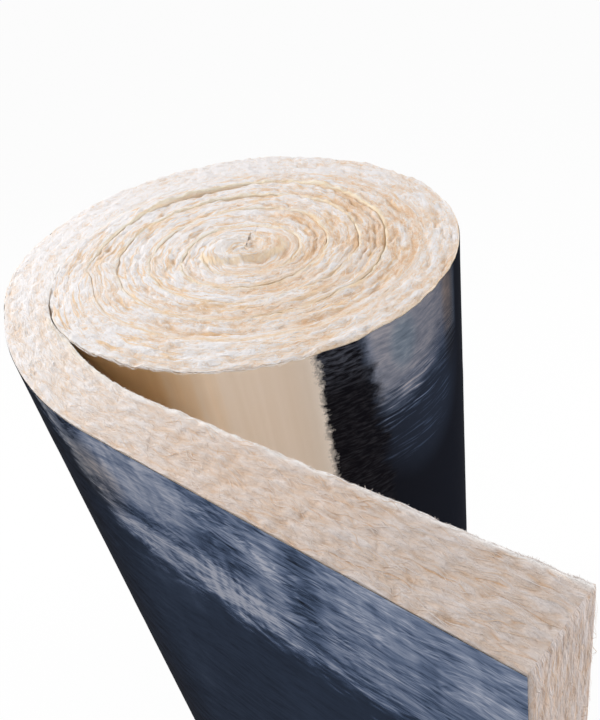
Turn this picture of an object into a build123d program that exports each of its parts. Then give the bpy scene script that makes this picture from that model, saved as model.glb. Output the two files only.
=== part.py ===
"""Foil-faced mineral wool insulation blanket, wound into a roll that stands on its end.

Millimetres. The roll's axis is +Z and the floor is z = 0. The outermost turn leaves the roll on
its -Y side and runs out along +X as a straight tail with a nearly square cut end. Seen from
above, the blanket winds clockwise from the tail to the core, with its foil on the outside of
every turn.
"""

import os
from math import cos, radians, sin

from build123d import *

# Blanket
blanket_width = 1200.0  # the roll's height
tail_thickness = 80.0  # wool at the cut end, fully swollen
tail_reach = 535.0  # roll axis to the middle of the cut end
cut_skew = 12.0  # the cut runs this far out of square, with the wool side longer

# Roll: the seam is the spiral on which each turn lies against the next
roll_radius = 285.0  # seam radius where the winding angle is zero, straight below the axis
turn_pitch = 37.5  # wool of one turn, squeezed to less than half
core_radius = 22.0  # where the seam ends
ovality = 16.0  # a soft roll is a little oval: its radius swells and shrinks by this
oval_angle = 88.0  # winding angle of the oval's long axis, in degrees

# Outermost turn: with its end free, it has sprung away from the roll
spring_back = 32.0  # extra radius where it is fully loose
loose_angle = 90.0  # winding angle up to which it is fully loose, in degrees
tight_angle = 270.0  # winding angle from which it lies tight again, in degrees

# Turn below the tail: with nothing wound over it any more, it bulges towards the tail
bulge = 21.0  # extra radius where it is fully free
bulge_start_angle = 263.0  # winding angles in degrees: the bulge rises from here
bulge_full_angle = 347.0
bulge_fall_angle = 374.0
bulge_end_angle = 450.0  # and here the turns over it have pressed it flat again

# Tail: the bend on which the outermost turn leaves the roll
exit_angle = 35.0  # winding angle at which it leaves, in degrees
exit_bend_radius = 500.0  # of the foil side
exit_swell = 10.0  # thickness that the wool gains as it leaves

# Seam on the two ends
seam_width = 3.0
seam_depth = 25.0
seam_lead_angle = 8.0  # the groove starts this far out in the gap under the tail, in degrees

# Foil facing, on the outside of the tail and of the outermost turn
facing_thickness = 0.5  # foil with its reinforced backing
facing_setback = 2.0  # wool stands out past the foil's edges
facing_clearance = 1.0  # foil's end to the tail's wool, in the root of the gap

ARCS_PER_TURN = 12
FULL_TURN = 360.0

turn_count = (roll_radius - core_radius) / turn_pitch
exit_turn = exit_angle / FULL_TURN


def smooth_step(start, stop, angle):
    """0 up to the start angle, 1 from the stop angle on, and a smooth rise between them."""
    share = min(1, max(0, (angle - start) / (stop - start)))
    return share**2 * (3 - 2 * share)


def seam_radius(turn):
    """Radius of the seam after a number of turns, counted from straight below the axis."""
    angle = FULL_TURN * turn
    even = roll_radius - turn_pitch * turn
    oval = ovality * even / roll_radius * cos(2 * radians(angle - oval_angle))
    loose = spring_back * (1 - smooth_step(loose_angle, tight_angle, angle))
    rise = smooth_step(bulge_start_angle, bulge_full_angle, angle)
    fall = smooth_step(bulge_fall_angle, bulge_end_angle, angle)
    return even + oval + loose + bulge * (rise - fall)


def seam_point(turn, shift):
    """Point on the seam, moved outwards by shift. Turn 0 is straight below the axis, in -Y."""
    angle = radians(FULL_TURN * turn)
    radius = seam_radius(turn) + shift
    return Vector(-radius * sin(angle), -radius * cos(angle))


def seam_edges(start, stop, shift):
    """Arcs that follow the seam from one turn number to another."""
    count = max(1, round(abs(stop - start) * ARCS_PER_TURN))
    step = (stop - start) / count
    edges = []
    for index in range(count):
        first = start + index * step
        turns = (first, first + step / 2, first + step)
        edges.append(ThreePointArc(*(seam_point(turn, shift) for turn in turns)))
    return edges


exit_thickness = seam_radius(exit_turn) - seam_radius(exit_turn + 1) + exit_swell
exit_point = seam_point(exit_turn, 0)
bend_inward = Vector(sin(radians(exit_angle)), cos(radians(exit_angle)))
bend_centre = exit_point + bend_inward * exit_bend_radius
tail_middle = bend_centre.Y - exit_bend_radius + exit_thickness / 2


def tail_edge(bend_radius, end_offset):
    """One long side of the tail, from the roll outwards: the exit bend, then a straight run."""
    start = bend_centre - bend_inward * bend_radius
    heading = Vector(bend_inward.Y, -bend_inward.X)
    bend = JernArc(start, heading, bend_radius, exit_angle)
    end_reach = tail_reach + cut_skew * end_offset / tail_thickness
    run = Line(bend @ 1, Vector(end_reach, tail_middle + end_offset))
    return [bend, run]


def closed_face(forward, back):
    """Face between two chains of edges that run the same way."""
    caps = [
        Line(forward[0] @ 0, back[0] @ 0),
        Line(forward[-1] @ 1, back[-1] @ 1),
    ]
    return make_face([*forward, *back, *caps])


def tail_face(inner_gap=0):
    """Plan of the tail's wool, grown on its inner side by inner_gap."""
    foil_side = tail_edge(exit_bend_radius, -tail_thickness / 2)
    inner_radius = exit_bend_radius - exit_thickness - inner_gap
    inner_side = tail_edge(inner_radius, tail_thickness / 2 + inner_gap)
    return closed_face(foil_side, inner_side)


def wound_face():
    """Plan of the wound turns: everything inside the outermost one."""
    rim = seam_edges(exit_turn, exit_turn + 1, 0)
    return make_face([*rim, Line(rim[-1] @ 1, rim[0] @ 0)])


def seam_groove():
    """Groove along the seam, from the root of the gap under the tail in to the core."""
    start = 1 - seam_lead_angle / FULL_TURN
    inner_wall = seam_edges(start, turn_count, 0)
    outer_wall = seam_edges(start, turn_count, seam_width)
    return extrude(closed_face(inner_wall, outer_wall), seam_depth)


def wool_blanket():
    """The whole blanket: wound turns and tail in one piece, with its turns showing on both ends."""
    wool = extrude(wound_face() + tail_face(), blanket_width)
    groove = seam_groove()
    return wool - groove - groove.moved(Location((0, 0, blanket_width - seam_depth)))


def foil_facing():
    """Foil from the tail's cut end, round the outermost turn and in to the root of the gap."""
    wool_side = tail_edge(exit_bend_radius, -tail_thickness / 2)
    open_side = tail_edge(
        exit_bend_radius + facing_thickness, -tail_thickness / 2 - facing_thickness
    )
    on_tail = closed_face(wool_side, open_side)
    last_turn = exit_turn + 1
    on_roll = closed_face(
        seam_edges(exit_turn, last_turn, 0),
        seam_edges(exit_turn, last_turn, facing_thickness),
    )
    plan = on_tail + on_roll - tail_face(facing_clearance)
    height = blanket_width - 2 * facing_setback
    return extrude(plan, height).moved(Location((0, 0, facing_setback)))


def main():
    os.makedirs("parts", exist_ok=True)
    for name, shape in (("wool_blanket", wool_blanket()), ("foil_facing", foil_facing())):
        export_step(shape, f"parts/{name}.step")
        print(name, "solids", len(shape.solids()), "volume", round(shape.volume))
    print("turns", round(turn_count, 2), "exit thickness", round(exit_thickness, 1))


main()
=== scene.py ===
# %% [markdown]
# # A foil-faced insulation roll
# The object is a long blanket of cream mineral wool with bright foil bonded to one side. It is wound
# up and stands on its end, and its outermost turn is peeled off as a straight tail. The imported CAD
# gives the true sizes, so everything below is in metres in the CAD's own frame: the roll's axis is
# +Z, the floor is z = 0 and the tail runs out along +X.

from functools import reduce
from math import radians

import bmesh
import bpy
import numpy as np
from mathutils import Matrix, Vector


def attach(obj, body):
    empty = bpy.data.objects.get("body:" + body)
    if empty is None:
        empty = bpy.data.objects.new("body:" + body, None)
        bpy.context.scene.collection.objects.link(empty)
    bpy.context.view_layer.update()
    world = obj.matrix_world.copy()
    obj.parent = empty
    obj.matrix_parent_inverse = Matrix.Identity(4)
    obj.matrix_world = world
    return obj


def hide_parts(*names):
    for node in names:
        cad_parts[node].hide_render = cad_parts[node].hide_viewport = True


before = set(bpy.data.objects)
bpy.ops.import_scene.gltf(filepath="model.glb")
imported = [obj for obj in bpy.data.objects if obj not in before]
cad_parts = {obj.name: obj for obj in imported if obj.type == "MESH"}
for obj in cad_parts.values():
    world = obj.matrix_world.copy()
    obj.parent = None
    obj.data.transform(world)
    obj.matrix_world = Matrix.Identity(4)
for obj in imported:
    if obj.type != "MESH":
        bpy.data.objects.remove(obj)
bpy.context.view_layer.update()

# %% [markdown]
# The camera stands at eye height and looks down on the roll, leaning a little to one side. Its
# place, its viewing direction and its lean come from the roll's own outline in the photograph, so no
# lens shift is needed.

# %% Camera
EYE = Vector((0.6045, -0.5732, 1.6214))
LOOK = Vector((-0.55282, 0.57913, -0.59917))
UP = Vector((-0.26505, 0.55948, 0.78532))
LENS = 35.54
SENSOR = 36.0

camera_data = bpy.data.cameras.new("camera")
camera_data.lens = LENS
camera_data.sensor_width = SENSOR
camera = bpy.data.objects.new("camera", camera_data)
bpy.context.collection.objects.link(camera)
look = LOOK.normalized()
right = look.cross(UP).normalized()
up = right.cross(look)
camera.matrix_world = Matrix.Translation(EYE) @ Matrix((right, up, -look)).transposed().to_4x4()
bpy.context.scene.camera = camera
print("camera at", tuple(round(v, 3) for v in EYE))

# %% [markdown]
# The world, the floor and the finishes are all made of shader nodes. Adding each node by hand takes
# several lines, so a small class does it: a term that is a socket gets linked, and a term that is a
# number or a colour is set on the input itself.

# %% Short ways to add nodes
class Wiring:
    """A node tree, emptied, with short ways to add nodes to it."""

    def __init__(self, tree):
        self.tree = tree
        tree.nodes.clear()

    def feed(self, socket, term):
        """Give an input its term: a socket, a number, a vector or a colour."""
        if isinstance(term, (int, float)):
            socket.default_value = term
        elif isinstance(term, tuple):
            socket.default_value = term if socket.type == "VECTOR" else (*term, 1.0)
        else:
            self.tree.links.new(term, socket)

    def add(self, kind, terms=(), **settings):
        """A node of a kind. terms are (input, term) pairs, settings are its own values."""
        node = self.tree.nodes.new(kind)
        for key, value in settings.items():
            setattr(node, key, value)
        for key, term in terms:
            self.feed(node.inputs[key], term)
        return node

    def maths(self, operation, first, second=0.0):
        """One sum of two terms."""
        return self.add("ShaderNodeMath", [(0, first), (1, second)], operation=operation).outputs[0]

    def spread(self, value, low, high, to_low=0.0, to_high=1.0, smooth=False):
        """A value moved from one range to another, held at its ends."""
        ends = (("From Min", low), ("From Max", high), ("To Min", to_low), ("To Max", to_high))
        node = self.add("ShaderNodeMapRange", [("Value", value), *ends])
        if smooth:
            node.interpolation_type = "SMOOTHSTEP"
        return node.outputs["Result"]


print("node helpers ready")

# %% [markdown]
# Plain soft light: an even pale world fills every hollow, a large lamp on the left behind the roll
# gives the wool's lumps a lit side and a shaded side, and a weaker one on the right reaches into the
# gap behind the tail. The camera and the foil both see a white world.

# %% World and lamps
WORLD_FILL = 0.575
WHITE = (1.0, 1.0, 1.0)
scene = bpy.context.scene
scene.view_settings.view_transform = "Standard"

scene.world = bpy.data.worlds.new("pale room")
scene.world.use_nodes = True
room = Wiring(scene.world.node_tree)
seen = room.add("ShaderNodeLightPath").outputs
camera_or_glossy = room.maths("MAXIMUM", seen["Is Camera Ray"], seen["Is Glossy Ray"])
any_view = room.maths("MAXIMUM", camera_or_glossy, seen["Is Transmission Ray"])
strength = room.spread(any_view, 0.0, 1.0, WORLD_FILL, 1.0)
background = room.add("ShaderNodeBackground", [("Color", WHITE), ("Strength", strength)])
room.add("ShaderNodeOutputWorld", [("Surface", background.outputs["Background"])])


def soft_lamp(name, place, aim, size, power):
    """A large square lamp at a place, turned towards a point."""
    data = bpy.data.lights.new(name, "AREA")
    data.shape = "SQUARE"
    data.size = size
    data.energy = power
    lamp = bpy.data.objects.new(name, data)
    bpy.context.collection.objects.link(lamp)
    lamp.location = place
    lamp.rotation_euler = (Vector(aim) - Vector(place)).to_track_quat("-Z", "Y").to_euler()
    print(name, power, "W")


soft_lamp("key lamp", place=(-1.9, -0.7, 2.7), aim=(0.0, 0.0, 1.15), size=1.2, power=49.0)
soft_lamp("gap lamp", place=(1.9, 1.6, 1.45), aim=(0.25, -0.25, 1.0), size=1.0, power=34.0)

# %% [markdown]
# The floor is pale. To the camera and to the foil it is nearly white, and the rest of it is matt, so
# that the roll's shadow stays on it.

# %% Floor
FLOOR_SIZE = 30.0
FLOOR_GREY = (0.93, 0.93, 0.93)
WHITE_SHARE = 0.94
floor_mesh = bpy.data.meshes.new("floor")
shape = bmesh.new()
bmesh.ops.create_grid(shape, x_segments=1, y_segments=1, size=FLOOR_SIZE)
shape.to_mesh(floor_mesh)
shape.free()
floor = bpy.data.objects.new("floor", floor_mesh)
bpy.context.collection.objects.link(floor)

floor_paint = bpy.data.materials.new("pale floor")
floor_paint.use_nodes = True
ground = Wiring(floor_paint.node_tree)
seen = ground.add("ShaderNodeLightPath").outputs
either = ground.maths("MAXIMUM", seen["Is Camera Ray"], seen["Is Glossy Ray"])
share = ground.maths("MULTIPLY", either, WHITE_SHARE)
matt = ground.add("ShaderNodeBsdfDiffuse", [("Color", FLOOR_GREY)])
white = ground.add("ShaderNodeEmission", [("Color", WHITE), ("Strength", 1.0)])
mix = ground.add("ShaderNodeMixShader", [(0, share), (1, matt.outputs[0]), (2, white.outputs[0])])
ground.add("ShaderNodeOutputMaterial", [("Surface", mix.outputs[0])])
floor_mesh.materials.append(floor_paint)
print("floor", 2 * FLOOR_SIZE, "m wide")

# %% [markdown]
# Wool is uneven at every size. These helpers give smooth random hills on a plane: a table of random
# heights that is read between its points. Stretching one direction makes fibres and layers. ease is
# the smooth step that fades one thing into another.

# %% Uneven heights
TABLE = 128


def ease(low, high, value):
    """0 below low, 1 above high and a smooth step between them."""
    share = np.clip((value - low) / (high - low), 0, 1)
    return share * share * (3 - 2 * share)


def hills(u, v, seed, octaves=3):
    """Smooth random heights from -1 to 1 over the plane u, v, in octaves."""
    table = np.random.default_rng(seed).random((TABLE, TABLE)) * 2 - 1
    total, weight, scale = np.zeros(np.broadcast(u, v).shape), 0.0, 1.0
    for octave in range(octaves):
        x, y = u * scale + 17.3 * octave, v * scale + 41.7 * octave
        column, row = np.floor(x).astype(int), np.floor(y).astype(int)
        a, b = x - column, y - row
        a, b = a * a * (3 - 2 * a), b * b * (3 - 2 * b)
        corner = [
            table[(column + i) % TABLE, (row + j) % TABLE] for i, j in ((0, 0), (1, 0), (0, 1), (1, 1))
        ]
        low = corner[0] * (1 - a) + corner[1] * a
        high = corner[2] * (1 - a) + corner[3] * a
        total += (low * (1 - b) + high * b) / scale
        weight += 1 / scale
        scale *= 2
    return total / weight


def waves(along, seed, octaves):
    """Hills along one line."""
    return hills(along, along * 0, seed, octaves)


def ridges(u, v, seed, octaves=2):
    """Sharp crests from -1 to 1: hills folded where they cross zero."""
    return 1 - 3 * np.abs(hills(u, v, seed, octaves))


print("hills at one point", round(float(hills(np.array([0.5]), np.array([0.5]), 3)[0]), 3))

# %% [markdown]
# The blanket follows one long curve. The tail is straight, then bends onto the roll, and from there
# each turn lies on the next along a spiral seam. The seam's law is the CAD's, with the CAD's sizes.

# %% The spiral seam
WIDTH = 1.2
ROLL_RADIUS = 0.285
TURN_PITCH = 0.0375
OVALITY = 0.016
OVAL_ANGLE = 88.0
SPRING_BACK = 0.032
LOOSE_ANGLE, TIGHT_ANGLE = 90.0, 270.0
BULGE = 0.021
BULGE_RISE = (263.0, 347.0)
BULGE_FALL = (374.0, 450.0)
LAST_TURN = 6.42


def seam_radius(turn):
    """Radius of the spiral seam, as in the CAD."""
    angle = 360 * np.asarray(turn, float)
    even = ROLL_RADIUS - TURN_PITCH * angle / 360
    oval = OVALITY * even / ROLL_RADIUS * np.cos(2 * np.radians(angle - OVAL_ANGLE))
    loose = SPRING_BACK * (1 - ease(LOOSE_ANGLE, TIGHT_ANGLE, angle))
    return even + oval + loose + BULGE * (ease(*BULGE_RISE, angle) - ease(*BULGE_FALL, angle))


def on_turn(turn, radius):
    """Plan point at a winding angle: turn 0 lies straight below the axis, in -Y."""
    angle = 2 * np.pi * turn
    return np.stack([-radius * np.sin(angle), -radius * np.cos(angle)], axis=-1)


print("seam radius after 1, 3 and 5 turns", [round(float(seam_radius(n)), 3) for n in (1, 3, 5)])

# %% [markdown]
# In a real roll the seams inside wander by some millimetres, so the inner turns get the shifts that
# the photograph shows, while the outside stays on the CAD's outline. Each pair is a turn number and a
# shift in millimetres.

# %% Wandering of the inner seams
SEAM_SHIFTS_MM = (
    (1.00, 0), (1.05, 0), (1.09, -3), (1.14, -5), (1.22, -4), (1.40, 0), (1.60, -2), (1.80, -2),
    (2.00, 0), (2.04, 2), (2.10, -3), (2.125, -3), (2.145, 4), (2.17, 0), (2.20, -2), (2.24, -1),
    (2.28, 3), (2.305, 8), (2.33, 7), (2.36, 4), (2.40, 6), (2.43, 9), (2.46, 8), (2.50, 6),
    (2.54, 2), (2.57, -3), (2.60, -5), (2.64, -8), (2.68, -10), (2.72, -8), (2.80, -9), (2.90, -7),
    (3.00, -5), (3.07, -4), (3.15, 2), (3.19, 6), (3.25, 8), (3.30, 10), (3.36, 6), (3.50, 6),
    (3.62, -2), (3.70, -7), (3.80, -8), (4.00, -6), (4.08, -6), (4.17, -2), (4.30, 3), (4.50, 4),
    (4.66, -8), (4.85, -7), (5.00, -5), (5.10, -8), (5.17, -11), (5.30, -6), (5.46, -8), (5.60, -5),
    (5.80, -3), (6.00, 0), (6.50, 0),
)
WOBBLE = 0.0020
WOBBLES_PER_TURN = 38


def along_turns(pairs, turn):
    """A value read between (turn, value) pairs."""
    at, value = np.array(pairs).T
    return np.interp(turn, at, value)


def wandering_seam(turn):
    """The seam with the shifts of the inner turns."""
    wobble = WOBBLE * waves(np.asarray(turn) * WOBBLES_PER_TURN, 21, 2) * ease(1.15, 1.4, turn)
    return seam_radius(turn) + along_turns(SEAM_SHIFTS_MM, turn) / 1000 + wobble


print("shifts from", min(s for _, s in SEAM_SHIFTS_MM), "to", max(s for _, s in SEAM_SHIFTS_MM), "mm")

# %% [markdown]
# The plan has three stretches: tail, bend and wound turns. Each one gives the blanket's two sides, the
# foil side and the wool side, as lines that run from the cut end inwards.

# %% Two sides of the blanket
TAIL_THICK = 0.080
TAIL_REACH = 0.535
CUT_SKEW = 0.012
EXIT_ANGLE = 35.0
BEND_RADIUS = 0.5
EXIT_SWELL = 0.010
ROOT_GAP = 0.0016
CORE_CLOSING = 0.014

exit_turn = EXIT_ANGLE / 360
exit_thick = float(seam_radius(exit_turn) - seam_radius(exit_turn + 1)) + EXIT_SWELL
exit_way = np.array([np.sin(radians(EXIT_ANGLE)), np.cos(radians(EXIT_ANGLE))])
bend_centre = on_turn(exit_turn, seam_radius(exit_turn)) + exit_way * BEND_RADIUS
tail_middle = bend_centre[1] - BEND_RADIUS + exit_thick / 2


def tail_sides(share):
    """Foil side and wool side of the tail, from its cut end (0) to the bend (1)."""
    half = (TAIL_THICK + (exit_thick - TAIL_THICK) * share) / 2
    sides = []
    for sign in (-1, 1):
        reach = TAIL_REACH + sign * CUT_SKEW / 2
        along = reach + (bend_centre[0] - reach) * share
        sides.append(np.stack([along, tail_middle + sign * half], axis=-1))
    return sides


def bend_sides(share):
    """Foil side and wool side of the bend, from the tail (0) to the roll (1)."""
    angle = np.radians(EXIT_ANGLE) * share
    way = np.stack([np.sin(angle), np.cos(angle)], axis=-1)
    foil, wool = bend_centre - way * BEND_RADIUS, bend_centre - way * (BEND_RADIUS - exit_thick)
    winding = np.arctan2(-wool[..., 0], -wool[..., 1]) / (2 * np.pi)
    radius = np.linalg.norm(wool, axis=-1)
    held = np.maximum(radius, wandering_seam(1 + winding) + ROOT_GAP)
    return foil, wool * (held / radius)[..., None]


def roll_sides(turn):
    """Foil side and wool side of a wound turn. The core's last turn closes on the axis."""
    closing = 1 - ease(LAST_TURN - 1, LAST_TURN - 1 + CORE_CLOSING, turn)
    inner = wandering_seam(turn + 1) * closing
    return on_turn(turn, wandering_seam(turn)), on_turn(turn, inner)


print("exit thickness", round(exit_thick, 4), "tail middle", round(float(tail_middle), 4))

# %% [markdown]
# Rows across the blanket are spaced about three millimetres apart along its whole length, from the
# cut end to the core. Each row knows its two sides, how far along the blanket it is and which turn it
# belongs to.

# %% Rows along the blanket
ROW_STEP = 0.0030
CUT_ROUND = 0.002
FINE_ROWS = 4000
TAIL_TURN = -0.4
MIDDLE_SHARE = 0.45


def row_table():
    """Sides, length along and turn number of every row."""
    tail = tail_sides(np.linspace(CUT_ROUND / TAIL_REACH, 1, FINE_ROWS // 8, endpoint=False))
    bend = bend_sides(np.linspace(0, 1, FINE_ROWS // 8, endpoint=False))
    turns = np.linspace(exit_turn, LAST_TURN, FINE_ROWS)
    roll = roll_sides(turns)
    foil, wool = (np.concatenate([tail[k], bend[k], roll[k]]) for k in (0, 1))
    before = len(foil) - FINE_ROWS
    turn = np.concatenate([np.linspace(TAIL_TURN, exit_turn, before, endpoint=False), turns])
    middle = foil * (1 - MIDDLE_SHARE) + wool * MIDDLE_SHARE
    step = np.linalg.norm(np.diff(middle, axis=0), axis=1)
    along = CUT_ROUND + np.concatenate([[0], np.cumsum(step)])
    at = np.linspace(along[0], along[-1], int(along[-1] / ROW_STEP) + 1)

    def pick(line):
        return np.stack([np.interp(at, along, line[:, k]) for k in (0, 1)], axis=1)

    return pick(foil), pick(wool), at, np.interp(at, along, turn)


row_foil, row_wool, row_along, row_turn = row_table()
row_thick = np.linalg.norm(row_wool - row_foil, axis=1)
row_across = (row_wool - row_foil) / row_thick[:, None]
print("rows", len(row_along), "blanket length", round(float(row_along[-1]), 2))

# %% [markdown]
# Each turn stands at its own height: the outer turns are highest, and further in the roll has sunk
# by about a finger's breadth, which shows as steps all round the back. Only the core's nose stands up
# again, as a low oval with a dish in its top.

# %% Heights of the turns
HEIGHTS_MM = (
    (-0.5, 0), (0.0, 0), (0.3, -0.5), (1.25, -0.5), (1.4, -1), (1.55, -1.5), (1.7, -2.5), (1.9, -3.5),
    (2.1, -4), (2.3, -4.5), (2.5, -5), (2.65, -5), (2.8, -4.5), (3.0, -5.5), (3.12, -7), (3.18, -8.5),
    (3.31, -9), (3.4, -8), (3.6, -7.5), (3.8, -7), (4.0, -8), (4.2, -10), (4.4, -10), (4.7, -9),
    (5.0, -9.5), (5.3, -11.5), (5.6, -11.5), (6.5, -11.5),
)
SWAY, SWAY_LENGTH = 0.002, 0.30
NOSE_HALF = (0.054, 0.036)
NOSE_WAY = (0.79, 0.61)
NOSE_CENTRE = (-0.004, 0.002)
NOSE_HEIGHT, NOSE_EDGE = 0.0085, (0.90, 1.06)
NOSE_DISH, DISH_EDGE = 0.0035, (0.2, 0.75)
NOSE_WOBBLE = 0.07


def turn_height(turn, along):
    """Top of the blanket below its full width, along its length."""
    sway = SWAY * waves(along / SWAY_LENGTH, 3, 2) * ease(0.1, 0.6, turn)
    return along_turns(HEIGHTS_MM, turn) / 1000 + sway


def nose(x, y):
    """Extra height of the core's raised end, over the plan."""
    x, y = x - NOSE_CENTRE[0], y - NOSE_CENTRE[1]
    long = (x * NOSE_WAY[0] + y * NOSE_WAY[1]) / NOSE_HALF[0]
    short = (y * NOSE_WAY[0] - x * NOSE_WAY[1]) / NOSE_HALF[1]
    wobble = NOSE_WOBBLE * np.sin(3 * np.arctan2(short, long) + 0.6)
    out = np.hypot(long, short) + wobble
    return NOSE_HEIGHT * (1 - ease(*NOSE_EDGE, out)) - NOSE_DISH * (1 - ease(*DISH_EDGE, out))


def nose_slope(x, y, step=0.001):
    """How steep the raised core's side is at plan points."""
    rise_x = nose(x + step, y) - nose(x - step, y)
    rise_y = nose(x, y + step) - nose(x, y - step)
    return np.hypot(rise_x, rise_y) / (2 * step)


print("lowest turn", min(height for _, height in HEIGHTS_MM), "mm, nose", NOSE_HEIGHT, "m")

# %% [markdown]
# A seam can be a clear line, or the wool can run on across it so that it hardly shows. Along a clear
# seam the edge of one turn stands over the next as a lip with a pale painted highlight, and here and
# there the seam gapes. In each table a pair is a turn number and a strength from 0 to 1.

# %% Seams, lips and gaps
SEAM_STRENGTHS = (
    (-1.5, 0.3), (-0.1, 0.3), (0.05, 0.35), (0.12, 0.2), (0.2, 0.1), (0.3, 0.05), (0.42, 0.0),
    (0.95, 0.0), (1.1, 0.5), (1.25, 1.0), (1.7, 1.0), (1.85, 0.6), (2.1, 0.6), (2.3, 1.0), (2.8, 1.0),
    (2.95, 0.5), (3.3, 0.5), (4.5, 0.6), (6.5, 0.5),
)
LIP_HIGHLIGHT_STRENGTHS = (
    (0.0, 0.0), (0.06, 0.8), (0.25, 0.8), (0.33, 0.3), (0.4, 0.0), (1.1, 0.0), (1.22, 0.9), (1.75, 0.9),
    (1.85, 0.3), (2.15, 0.3), (2.25, 0.8), (2.8, 0.7), (3.0, 0.3), (3.2, 0.6), (3.4, 0.6), (4.5, 0.7),
    (6.5, 0.5),
)
GAPS = (
    (0.105, 0.02, 0.0010), (1.50, 0.30, 0.0004), (1.305, 0.02, 0.003), (1.44, 0.015, 0.002),
    (2.69, 0.02, 0.003), (3.66, 0.02, 0.003), (4.30, 0.10, 0.0010),
)
PRESSED = 0.0002


def seam_strength(turn):
    """How clearly the seam on the wool side of a turn shows."""
    return along_turns(SEAM_STRENGTHS, turn)


def front_tint(turn):
    """How orange a seam is round the front of the roll."""
    return 0.9 * ease(0.15, 0.75, np.cos(2 * np.pi * (turn - 0.93))) * ease(0.7, 0.9, turn)


def seam_gap(turn):
    """How far a seam gapes at the top, on the wool side of a turn. Weak seams are pressed shut."""
    gap = PRESSED * (seam_strength(turn) - 1.0)
    for centre, reach, width in GAPS:
        gap = gap + width * np.clip(1 - ((turn - centre) / reach) ** 2, 0, 1)
    return gap


print("widest gap", round(float(seam_gap(row_turn).max()) * 1000, 1), "mm")

# %% [markdown]
# The blanket itself starts as one flat grid: its rows run along the blanket, and its columns run
# once round the section, up the foil side, across the top, down the wool side and back underneath.
# The columns crowd together towards the edges, where the shape changes fastest.

# %% Section of the blanket
SIDE_LEVELS = (0.004, 0.60, 1.00, 1.10, 1.15, 1.184, 1.1965)
TOP_SEGMENTS = 24
UNDER_SEGMENTS = 2
EDGE_CROWDING = 0.4

even = np.linspace(0, 1, TOP_SEGMENTS + 1)
top_shares = even * (1 - EDGE_CROWDING) + (0.5 - 0.5 * np.cos(np.pi * even)) * EDGE_CROWDING
columns = [(0.0, level, "foil side") for level in SIDE_LEVELS]
columns += [(share, WIDTH, "top") for share in top_shares]
columns += [(1.0, level, "wool side") for level in reversed(SIDE_LEVELS)]
columns += [(1 - i / UNDER_SEGMENTS, 0.0, "under") for i in range(UNDER_SEGMENTS + 1)]
column_share, column_level, column_kind = (np.array(values) for values in zip(*columns))
on_top_side = column_kind == "top"
print("columns round the section", len(columns))

# %% [markdown]
# The relief of the cut side of the wool: crimped layers that run with the winding, tufts, broad
# lumps and a few folds. On the tail the wool is combed out straight and has small pits near the cut.
# The roll's front rim is ragged, and the lip of the clearest seam is made of soft pillows. Each size
# is a pair: along the blanket and across it.

# %% Relief
LAYER_SIZE, LAYER_HEIGHT = (0.055, 0.0075), 0.0005
CRIMP_SIZE, CRIMP_HEIGHT = (0.016, 0.0065), 0.0007
TUFT_SIZE, TUFT_HEIGHT = (0.010, 0.006), 0.0022
LUMP_SIZE = (0.055, 0.026)
LUMP_HEIGHT, WOUND_LUMPS, CORE_LUMPS = 0.0008, 0.0026, 0.0012
WARP_SIZE, WARP = (0.028, 0.03), 0.005
FOLD_WIDTH, FOLD_DEPTH = 0.0030, 0.0020
FOLD_SWAY, FOLD_LENGTH, FOLD_BREAKS = 0.16, 0.10, 0.12
PIT_DEPTH, PIT_SLANT, PIT_WARP = 0.0014, 0.10, 0.004
PIT_SIZE, PIT_GROUPS = (0.030, 0.011), (0.035, 0.014)
PITS_END, PIT_KEEP = (0.30, 0.12), (0.003, 0.009)
RIM_WIDTH, RIM_HEIGHT, RIM_LENGTH = 0.006, 0.0030, 0.013
PILLOW_WIDTH, PILLOW_HEIGHT, PILLOW_LENGTH = 0.007, 0.0030, 0.016


def near(distance, reach):
    """1 at an edge, falling smoothly to 0 over about a reach."""
    return np.exp(-((distance / reach) ** 2))


def pits(along, depth, thick):
    """Slanted pits in the tail's wool near the cut, from 0 to 1."""
    slant = depth + PIT_SLANT * along + PIT_WARP * hills(along / 0.02, depth / 0.02, 23, 2)
    found = ease(0.55, 0.95, ridges(along / PIT_SIZE[0], slant / PIT_SIZE[1], 18, 1))
    groups = ease(-0.10, 0.15, hills(along / PIT_GROUPS[0], depth / PIT_GROUPS[1], 24, 2))
    from_edge = np.minimum(depth, thick - depth)
    return found * ease(*PITS_END, along) * groups * ease(*PIT_KEEP, from_edge)


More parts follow.
